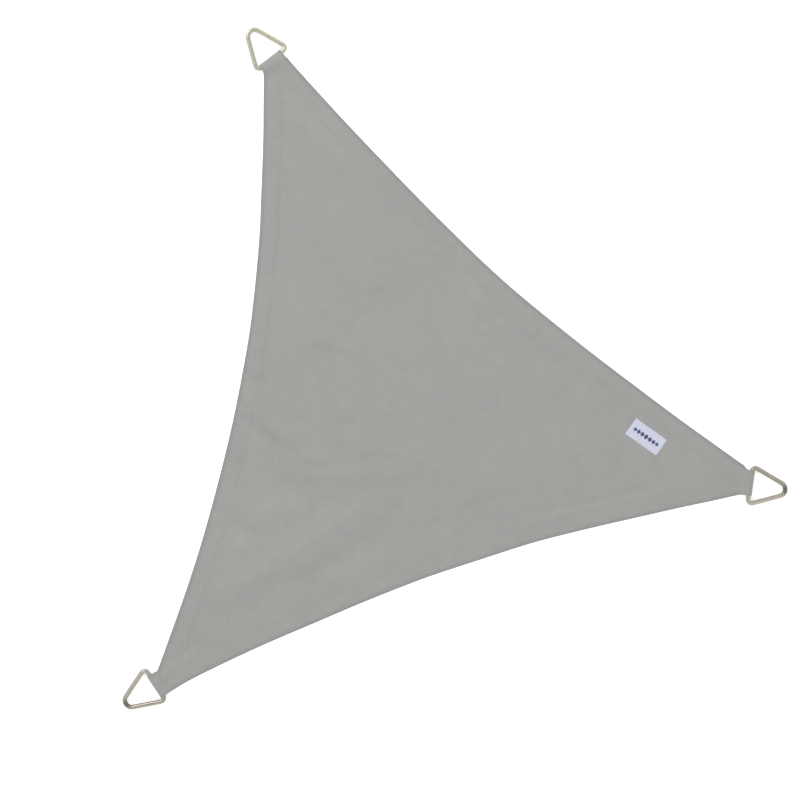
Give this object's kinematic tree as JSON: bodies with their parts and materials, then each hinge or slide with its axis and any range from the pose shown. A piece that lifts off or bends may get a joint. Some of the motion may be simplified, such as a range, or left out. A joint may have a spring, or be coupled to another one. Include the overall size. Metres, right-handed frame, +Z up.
{
  "type": "triangular shade sail",
  "caption": "Triangular shade sail of grey knitted cloth with inward-curved hemmed edges and a bent steel ring in a sewn pocket at each corner, lying flat.",
  "frame": {"origin": "On the surface the sail lies on, under the middle of its bounding box.", "axes": "+Z up, away from the surface. +X runs along the lower edge from the left ring to the right ring, +Y from the lower edge to the top ring."},
  "size_m": [2.0026, 1.76, 0.0167],
  "materials": {
    "sail_fabric": "light grey knitted shade cloth, matte",
    "ring_steel": "polished stainless steel wire, warm grey",
    "label_tape": "white woven tape, matte"
  },
  "bodies": {
    "root": {"sail_cloth": "sail_fabric", "ring_left": "ring_steel", "ring_right": "ring_steel", "ring_top": "ring_steel", "label": "label_tape"}
  },
  "joints": []
}
